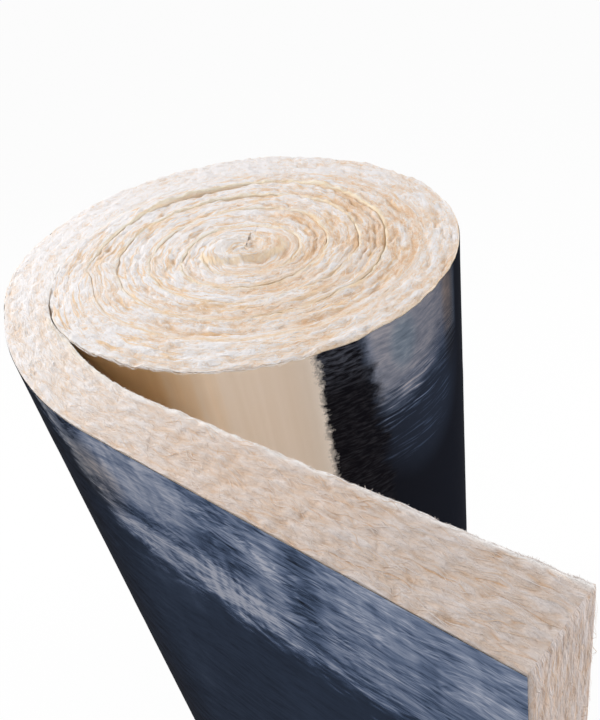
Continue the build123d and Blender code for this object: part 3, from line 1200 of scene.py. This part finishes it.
# painted shade and highlight: the relief term and the noises shared with the bump make hollows tan and ridges
# pale
value = wool.weighted(
    (layer_part, 1.0, 0.0),
    (curls, 1.05, 0.5),
    (cloud_part, 1.15, 0.0),
    (fibre_lines, 0.15, 0.4),
    (relief, 0.05, 0.0),
)
value = wool.times(value, wool.spread(along, 0.15, 0.90, 0.62, 1.0))
# painted light: the outer turn on the left is lighter, and round the roll one side is lighter and the other
# darker and more tan
outer_painted_light = wool.times(wool.spread(turn, 0.05, 0.22), wool.spread(turn, 0.54, 0.36), OUTER_PAINTED_LIGHT)
round_roll_light = wool.maths("COSINE", wool.times(wool.maths("SUBTRACT", turn, LIT_SIDE_TURN), 2 * np.pi))
value = wool.plus(value, outer_painted_light, wool.times(round_roll_light, wound, SIDE_LIGHT_CONTRAST))
tone = wool.tones(wool.plus(value, MIDDLE_TONE), WOOL_TONES)
print("value and tones", len(wool.tree.nodes), "nodes")

# %% [markdown]
# Over that lie the darker marks: tan lines along the winding, flecks between the curls, the hollows
# and pits of the relief, painted tan as shade, and thin cracks near the cut, painted dark as the shade
# in them.

# %% Lines, flecks and cracks
LINE_TAN = (0.87, 0.62, 0.39)
FLECK_TAN = (0.86, 0.61, 0.40)
HOLLOW_SHADE_TAN = (0.74, 0.50, 0.30)
CRACK_SHADE_TAN = (0.80, 0.50, 0.27)

lines = wool.crests(wool.noise(bent_strip, (7.0, 62.0), 2.0, 0.5), 0.034)
tone = wool.blend(wool.times(lines, wool.spread(clouds, 0.34, 0.54), wound), tone, LINE_TAN)
flecks = wool.times(wool.spread(curls, 0.38, 0.28), wool.spread(along, 0.15, 0.90, 0.35, 0.55))
tone = wool.blend(flecks, tone, FLECK_TAN)
# painted shade: hollows and pits of the relief are tinted darker tan
pitted = wool.times(wool.spread(relief, -0.8, -3.0), wool.spread(along, 0.30, 0.25))
hollow = wool.maths("MAXIMUM", wool.spread(relief, -1.8, -5.0), pitted)
tone = wool.blend(wool.times(hollow, 0.8), tone, HOLLOW_SHADE_TAN)
# painted shade: thin cracks near the cut are painted dark
cracks = wool.crests(wool.noise(bent_strip, (11.0, 62.0), 2.0, 0.5, bent=0.25), 0.018)
cracks = wool.times(cracks, wool.spread(clouds, 0.53, 0.44), wool.spread(along, 0.34, 0.10))
tone = wool.blend(wool.times(cracks, 0.8), tone, CRACK_SHADE_TAN)
print("marks", len(wool.tree.nodes), "nodes")

# %% [markdown]
# The edges get colours of their own, and painted light and shade. A seam is tan, partly the joint's
# own tan and partly painted shade in its groove; the lip over it gets a pale painted highlight, and a
# side wall is painted warmer and lighter than the cut side, as light comes through the wool. The free
# end of the blanket and its cut are more tan than the roll and painted darker as shade, with a thin
# white painted highlight along the tail's edge.

# %% Seams, lips and edges
SEAM_TAN_AND_SHADE = (0.89, 0.68, 0.45)
OUTER_LIP_HIGHLIGHT, INNER_LIP_HIGHLIGHT = (0.97, 0.95, 0.93), (0.97, 0.86, 0.65)
TAIL_WALL_LIGHT, ROLL_WALL_LIGHT = (0.90, 0.80, 0.70), (1.0, 0.82, 0.60)
RIM_HIGHLIGHT_WHITE, RIM_HIGHLIGHT_WARM = (1.0, 0.99, 0.99), (0.95, 0.86, 0.72)
TAIL_TAN_AND_SHADE = (0.85, 0.77, 0.71)
END_COOL_SHADE = (0.90, 0.93, 0.97)
CUT_COOL = (0.96, 0.98, 1.02)


def tail_tan_and_shade(paint, along, tone, cut=0.0):
    """The free end of the blanket and its cut are more tan than the roll, and painted darker as shade, cooler
    near the cut.
    """
    # painted shade: the tail and its cut are darker and more tan, darker and cooler near the cut
    share = paint.maths("MAXIMUM", paint.spread(along, 0.60, 0.24, smooth=True), cut)
    tone = paint.blend(share, tone, TAIL_TAN_AND_SHADE, way="MULTIPLY")
    return paint.blend(paint.spread(along, 0.26, 0.08, smooth=True), tone, END_COOL_SHADE, way="MULTIPLY")


# tan along the seams: partly the joint's own tan, partly painted shade in the groove
seam_tan_and_shade = wool.times(seam_share, wool.spread(clouds, 0.30, 0.60, 0.25, 0.85))
tone = wool.blend(seam_tan_and_shade, tone, SEAM_TAN_AND_SHADE)
# painted highlight: the lip over a clear seam is paler
lip_highlight_tone = wool.blend(wool.spread(turn, 0.5, 0.9), OUTER_LIP_HIGHLIGHT, INNER_LIP_HIGHLIGHT)
tone = wool.blend(wool.times(lip_share, 0.85), tone, lip_highlight_tone)
# painted light: the side walls and the core's steep side are tinted warmer and lighter, as light comes
# through the wool
wall_light_tone = wool.blend(wool.spread(turn, -0.1, 0.2), TAIL_WALL_LIGHT, ROLL_WALL_LIGHT)
wall_light_tint = wool.times(wall_share, wool.spread(curls, 0.35, 0.65, 0.95, 0.55))
tone = wool.blend(wall_light_tint, tone, wall_light_tone)
on_cut = wool.spread(across, CAP_UV[1] - 0.5, CAP_UV[1] - 0.1)
tone = wool.blend(on_cut, tail_tan_and_shade(wool, along, tone, on_cut), CUT_COOL, way="MULTIPLY")
# painted highlight: a white line along the tail's wool edge, warmer near the bend, and along the roll's front
# rim
rim_highlight_warm = wool.times(wool.spread(along, 0.42, 0.62), wool.spread(along, 1.0, 0.9))
rim_highlight_tone = wool.blend(rim_highlight_warm, RIM_HIGHLIGHT_WHITE, RIM_HIGHLIGHT_WARM)
wool.finish("Base Color", wool.blend(wool.times(rim_highlight_share, 0.9), tone, rim_highlight_tone))
grain = wool.weighted((layers, 0.8, 0.5), (curls, 1.1, 0.5), (fibre_lines, 0.35, 0.5), (cracks, -0.3, 0.0))
wool.bump(grain, strength=0.7, distance=0.003)
blanket.data.materials.append(wool.material)
print("wool finish", len(wool.tree.nodes), "nodes")

# %% [markdown]
# A loose fibre has one plain tint from tan to white, and is painted darker towards the free end with
# the same painted shade as the wool below it.

# %% Fibre finish
FIBRE_TONES = (
    (0.0, (0.86, 0.65, 0.45)),
    (0.25, (0.89, 0.78, 0.67)),
    (0.55, (0.92, 0.87, 0.83)),
    (1.0, (0.95, 0.93, 0.93)),
)
thread = Paint("loose fibre")
thread.finish("Roughness", 0.8)
thread.finish("Specular IOR Level", 0.2)
fibre_tone = thread.tones(thread.attribute("tint"), FIBRE_TONES)
thread.finish("Base Color", tail_tan_and_shade(thread, thread.strip()[1], fibre_tone))
fibre_mesh.materials.append(thread.material)
print("fibre finish", len(thread.tree.nodes), "nodes")

# %% [markdown]
# The foil is a thin metal. Crumpled foil mirrors the room in pieces, and a smooth sheet can't do
# that, so its light and dark streaks are painted as patterns. These are the streaks, the fine
# hatching, the upright ripples and the blotches. A patch is a soft oval at a place on the foil.

# %% Patterns of the foil
facing = Paint("bright foil")
facing.finish("Specular IOR Level", 0.0)
facing.finish("Specular Tint", (0.38, 0.38, 0.39))
strip, length, level = facing.strip()


def patch(centre, half):
    """A soft oval patch on the foil: 1 in its middle and 0 at its edge, in metres along and up."""
    squares = []
    for way, middle, size in zip((length, level), centre, half):
        away = facing.maths("DIVIDE", facing.maths("SUBTRACT", way, middle), size)
        squares.append(facing.maths("POWER", away, 2.0))
    return facing.spread(facing.plus(*squares), 0.0, 1.0, 1.0, 0.0, smooth=True)


bent_foil = facing.warped(strip, (11.0, 24.0), (0.035, 0.022))
streaks = facing.noise(bent_foil, (19.0, 72.0), 5.0, 0.64, bent=0.4)
fine = facing.noise(bent_foil, (62.0, 270.0), 4.0, 0.65)
ripple = facing.noise(bent_foil, (85.0, 14.0), 2.0, 0.5, turned=0.12)
blotch = facing.noise(bent_foil, (16.0, 34.0), 3.0, 0.55)
light_wisp_lines = facing.crests(facing.noise(bent_foil, (24.0, 200.0), 3.0, 0.55), 0.11)
fold_shade_lines = facing.crests(facing.noise(bent_foil, (15.0, 80.0), 3.0, 0.6), 0.07)
# painted reflection: light and dark streaks that stand for the room mirrored in crumpled foil
reflection_streaks = facing.weighted(
    (streaks, 1.0, 0.5),
    (fine, 0.40, 0.5),
    (ripple, 0.20, 0.5),
    (blotch, 0.55, 0.5),
    (light_wisp_lines, 0.16, 0.45),
    (fold_shade_lines, -0.22, 0.35),
)
print("patterns of the foil", len(facing.tree.nodes), "nodes")

# %% [markdown]
# On the tail a pale creased band of painted reflection runs along the top. It is painted dark below it
# and towards the bend. Thin painted highlight lines and slanted strokes cross the pale band.

# %% The tail's pale band
CALM_PATCH = ((0.385, 1.165), (0.095, 0.075))
STROKES = ((0.35, (16.0, 150.0), 0.20), (-0.20, (14.0, 170.0), 0.16), (0.15, (18.0, 210.0), -0.20))

on_tail = facing.spread(length, 0.60, 0.75, 1.0, 0.0)
drop = facing.times(facing.spread(length, 0.40, 0.57, 0.0, 0.19, smooth=True), on_tail)
uneven = facing.weighted((blotch, 0.10, 0.5), (streaks, 0.10, 0.5), (fine, 0.05, 0.5))
edge_level = facing.plus(facing.maths("SUBTRACT", level, drop), uneven)
# painted reflection: a pale band along the tail's top, dark below it
upper = facing.spread(edge_level, 1.008, 1.056, smooth=True)
lively = facing.times(facing.spread(upper, 0.0, 1.0, 0.09, 1.0), facing.spread(length, 0.05, 0.24, 0.58, 1.0))
calm = facing.spread(patch(*CALM_PATCH), 0.0, 1.0, 1.0, 0.35)
value = facing.plus(facing.times(reflection_streaks, lively, calm), facing.spread(upper, 0.0, 1.0, 0.11, 0.50))
to_bend = facing.spread(length, 0.40, 0.56, 0.0, -0.09, smooth=True)
value = facing.plus(value, facing.times(to_bend, on_tail))
# painted highlight: thin light lines across the pale band
hairline_highlights = facing.crests(facing.noise(bent_foil, (7.0, 120.0), 2.0, 0.5), 0.03)
value = facing.plus(value, facing.times(hairline_highlights, facing.spread(blotch, 0.45, 0.65), upper, 0.16))
for turned, scale, amount in STROKES:
    slanted = facing.crests(facing.noise(bent_foil, scale, 2.0, 0.5, turned=turned), 0.05)
    somewhere = facing.spread(facing.noise(strip, (18.0, 30.0), 2.0, 0.5, turned=turned), 0.46, 0.60)
    value = facing.plus(value, facing.times(slanted, somewhere, upper, calm, amount))
print("pale band", len(facing.tree.nodes), "nodes")

# %% [markdown]
# Single creases catch the light or lose it, painted as patches of highlight and shade. Each is a
# patch: its centre and half size in metres along and up, and how much lighter or darker it is. One
# patch has upright bars. Away from the tail the same painted reflection patterns go on, but calmer.

# %% The tail's light and dark patches
PATCHES = (
    ((0.285, 1.062), (0.075, 0.055), 0.36),
    ((0.395, 1.068), (0.080, 0.026), 0.24),
    ((0.385, 1.170), (0.100, 0.070), 0.28),
    ((0.455, 1.135), (0.055, 0.060), 0.21),
    ((0.222, 1.145), (0.030, 0.035), 0.14),
    ((0.115, 1.165), (0.065, 0.050), 0.12),
    ((0.020, 1.150), (0.040, 0.070), 0.10),
    ((0.110, 1.080), (0.050, 0.040), 0.08),
    ((0.280, 1.122), (0.050, 0.030), -0.30),
    ((0.395, 1.098), (0.085, 0.016), -0.22),
    ((0.187, 1.130), (0.026, 0.110), -0.22),
    ((0.075, 1.120), (0.012, 0.090), -0.10),
    ((0.480, 1.190), (0.040, 0.025), -0.30),
    ((0.380, 1.000), (0.080, 0.040), 0.05),
)
BARS_PATCH = ((0.290, 1.068), (0.055, 0.050))

phase = facing.plus(facing.times(length, 520.0), facing.times(blotch, 14.0), facing.times(level, 40.0))
bars = facing.times(facing.maths("SINE", phase), patch(*BARS_PATCH), 0.12)
value = facing.plus(value, bars)
hatch = facing.weighted((ripple, 1.0, 0.5), (streaks, 1.0, 0.5), (fine, 0.8, 0.5))
hatch = facing.spread(hatch, -0.30, 0.30, 0.20, 1.5)
# painted highlight and painted shade: single creases lighter or darker
for centre, half, amount in PATCHES:
    value = facing.plus(value, facing.times(patch(centre, half), amount, hatch))
broad = facing.noise(strip, (5.0, 1.0), 2.0, 0.5)
lower_part = facing.times(facing.weighted((broad, 0.16, 0.5)), facing.spread(level, 1.02, 0.85))
value = facing.plus(value, lower_part)
back_value = facing.plus(facing.times(reflection_streaks, 0.22), facing.weighted((broad, 0.30, 0.5)), 0.25)
value = facing.between(on_tail, back_value, value)
print("patches", len(PATCHES), "and", len(facing.tree.nodes), "nodes")

# %% [markdown]
# On the roll's right side the foil is nearly black in the photograph, with a grey patch below the rim
# and light strokes under it. These are painted reflection in the same way, as patches and streaks: the
# black is painted dark reflection, and the grey patch, the strokes and a faint glow are painted light.

# %% The roll's dark side
ROLL_SIDE = 1.70
SIDE_FADE = 0.12
LIGHT_STROKE_PATCH = ((1.965, 1.06), (0.09, 0.09))
GLOW_PATCH = ((1.95, 1.06), (0.10, 0.12))

right_side = facing.spread(length, ROLL_SIDE, ROLL_SIDE + SIDE_FADE)
strokes = facing.noise(bent_foil, (13.0, 300.0), 4.0, 0.65)
grey_edge = facing.plus(level, facing.weighted((strokes, 0.13, 0.5), (blotch, 0.08, 0.5)))
grey_edge = facing.plus(grey_edge, facing.spread(length, 1.88, 2.03, -0.015, 0.02))
grey = facing.times(
    facing.spread(grey_edge, 1.075, 1.135, smooth=True),
    facing.spread(length, 1.858, 1.885, smooth=True),
    facing.spread(length, 2.045, 2.015, smooth=True),
)
# painted reflection: light strokes, a grey patch lighter towards its top and a faint glow on the dark side
light_strokes = facing.times(facing.spread(strokes, 0.55, 0.70, 0.0, 0.36), patch(*LIGHT_STROKE_PATCH))
grey_grain = facing.times(grey, facing.weighted((fine, 0.5, 0.5), (blotch, 0.5, 0.5)))
grey_top_light = facing.times(grey, facing.spread(level, 1.10, 1.19, -0.04, 0.08))
glow = facing.times(patch(*GLOW_PATCH), 0.05)
side_value = facing.plus(light_strokes, 0.006, facing.times(grey, 0.47), grey_grain, glow, grey_top_light)
value = facing.between(right_side, value, side_value)
print("dark side", len(facing.tree.nodes), "nodes")

# %% [markdown]
# The painted reflection value becomes a colour: a cold blue grey from nearly black to pale, with a
# brown, a warm and a teal tint of painted reflection where the photograph shows them.

# %% Colours of the foil
FOIL_TONES = (
    (0.0, (0.008, 0.0085, 0.012)),
    (0.12, (0.031, 0.042, 0.068)),
    (0.30, (0.070, 0.094, 0.148)),
    (0.50, (0.15, 0.19, 0.282)),
    (0.75, (0.30, 0.34, 0.44)),
    (1.0, (0.48, 0.50, 0.58)),
)
BROWN, WARM_GREY, TEAL = (1.0, 0.83, 0.66), (1.14, 0.93, 0.76), (0.82, 1.02, 1.06)
BROWN_PATCHES = (((0.465, 1.125), (0.065, 0.065)), ((1.882, 1.18), (0.026, 0.14)))
TEAL_PATCH = ((1.978, 1.165), (0.026, 0.045))

# painted reflection colours: blue grey from black to pale, with brown, warm and teal tints
tone = facing.tones(value, FOIL_TONES)
brown = facing.plus(*[patch(*place) for place in BROWN_PATCHES])
tone = facing.blend(facing.times(brown, 0.85), tone, BROWN, way="MULTIPLY")
tone = facing.blend(grey, tone, WARM_GREY, way="MULTIPLY")
tone = facing.blend(facing.times(patch(*TEAL_PATCH), 0.65), tone, TEAL, way="MULTIPLY")
print("colours", len(facing.tree.nodes), "nodes")

# %% [markdown]
# Next to the gap a black band of painted dark reflection with a jagged edge comes first, with pale
# painted hatching at its top. Behind it the foil faces the wool across the gap and mirrors it as metal,
# and its cream tint, golden further in, and its faint streaks are painted reflection colour.

# %% Black band and mirror
BLACK_TONES = ((0.45, (0.0065, 0.0065, 0.009)), (0.75, (0.03, 0.03, 0.036)))
HATCH_GREY = (0.085, 0.095, 0.125)
MIRROR_CREAM, MIRROR_GOLD, SHEEN = (0.95, 0.945, 0.92), (0.98, 0.80, 0.55), (0.90, 0.86, 0.80)

spikes = facing.noise(strip, (60.0, 75.0), 6.0, 0.85)
jagged = facing.plus(length, facing.weighted((spikes, 0.036, 0.5)))
black_lean = facing.spread(level, 1.12, 1.20, 0.0, -0.024)
black_start = facing.plus(jagged, facing.weighted((blotch, 0.05, 0.5)), black_lean)
# painted dark reflection: a black band by the gap, with pale painted hatching at its top
black = facing.times(facing.spread(black_start, 2.008, 2.022), facing.spread(jagged, 2.088, 2.080))
hatch_top = facing.times(facing.spread(level, 1.135, 1.19), facing.spread(fine, 0.42, 0.62), 0.8)
black_tone = facing.blend(hatch_top, facing.tones(fine, BLACK_TONES), HATCH_GREY)
tone = facing.blend(black, tone, black_tone)
mirror = facing.spread(jagged, 2.079, 2.087)
gold_noise = facing.noise(strip, (45.0, 2.0), 4.0, 0.6)
gold_edge = facing.plus(length, facing.weighted((gold_noise, 0.09, 0.5)))
# painted reflection colour: cream and golden tint and faint streaks on the metal that mirrors the wool
mirror_tone = facing.blend(facing.spread(gold_edge, 2.17, 2.27, smooth=True), MIRROR_CREAM, MIRROR_GOLD)
sheen_lines = facing.spread(facing.noise(strip, (75.0, 1.2), 4.0, 0.6), 0.35, 0.65, 0.45, 0.0)
mirror_tone = facing.blend(sheen_lines, mirror_tone, SHEEN, way="MULTIPLY")
tone = facing.blend(mirror, tone, mirror_tone)
print("band and mirror", len(facing.tree.nodes), "nodes")

# %% [markdown]
# At last the shader's own inputs. The dark parts are hardly metal at all, so that they stay dark
# under the white world, and the pale parts and the mirror are metal.

# %% Foil finish
facing.finish("Base Color", tone)
facing.finish("Roughness", facing.spread(mirror, 0.0, 1.0, 0.10, 0.20))
facing.finish("Metallic", facing.maths("MAXIMUM", facing.spread(value, 0.10, 0.42, 0.02, 1.0), mirror))
facing.bump(streaks, strength=0.08, distance=0.002)
foil.data.materials.append(facing.material)
print("foil finish", len(facing.tree.nodes), "nodes")
